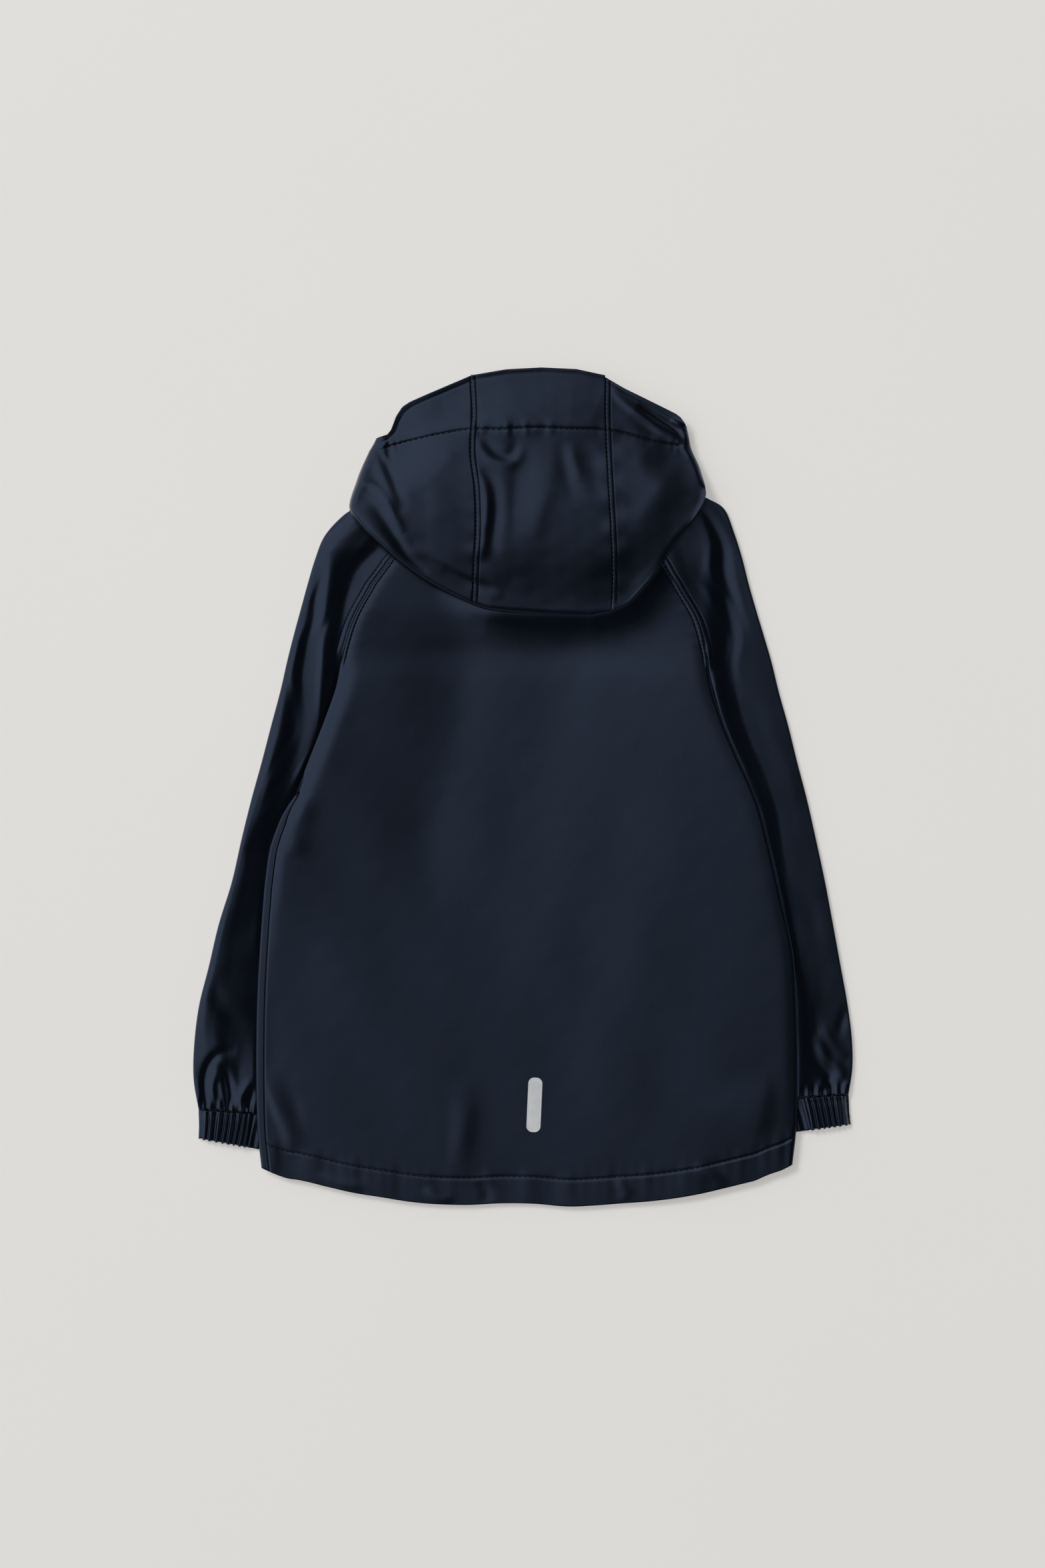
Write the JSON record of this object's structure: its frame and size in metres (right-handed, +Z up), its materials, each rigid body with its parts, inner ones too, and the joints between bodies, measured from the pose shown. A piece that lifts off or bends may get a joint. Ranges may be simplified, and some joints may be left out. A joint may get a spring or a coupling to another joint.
{
  "type": "kids raincoat",
  "caption": "Navy kids raincoat lying flat, face down, with a panelled hood, raglan sleeves, gathered cuffs and a plain reflective strip.",
  "frame": {"origin": "middle of the bounding box at its bottom, on the surface that the coat lies on", "axes": "+Z up out of the surface and out of the coat's back, +Y from the hem to the hood, -X the wearer's left side"},
  "size_m": [0.5439, 0.6896, 0.0304],
  "materials": {
    "back_cloth": "smooth coated rain cloth, soft satin shine",
    "front_left_cloth": "smooth coated rain cloth, soft satin shine",
    "front_right_cloth": "smooth coated rain cloth, soft satin shine",
    "sleeve_left_cloth": "smooth coated rain cloth, soft satin shine",
    "sleeve_right_cloth": "smooth coated rain cloth, soft satin shine",
    "cuff_left_cloth": "smooth coated rain cloth, soft satin shine, gathered",
    "cuff_right_cloth": "smooth coated rain cloth, soft satin shine, gathered",
    "hood_center_cloth": "smooth coated rain cloth, soft satin shine",
    "hood_left_cloth": "smooth coated rain cloth, soft satin shine",
    "hood_right_cloth": "smooth coated rain cloth, soft satin shine",
    "reflective_film": "plain light grey reflective tape, satin",
    "snap_plastic": "plain dark snap cap"
  },
  "bodies": {
    "root": {"back_panel": "back_cloth", "front_left": "front_left_cloth", "front_right": "front_right_cloth", "sleeve_left": "sleeve_left_cloth", "sleeve_right": "sleeve_right_cloth", "cuff_left": "cuff_left_cloth", "cuff_right": "cuff_right_cloth", "hood_center": "hood_center_cloth", "hood_side_left": "hood_left_cloth", "hood_side_right": "hood_right_cloth", "reflector": "reflective_film", "snap_1": "snap_plastic", "snap_2": "snap_plastic", "snap_3": "snap_plastic", "snap_4": "snap_plastic", "snap_5": "snap_plastic"}
  },
  "joints": []
}
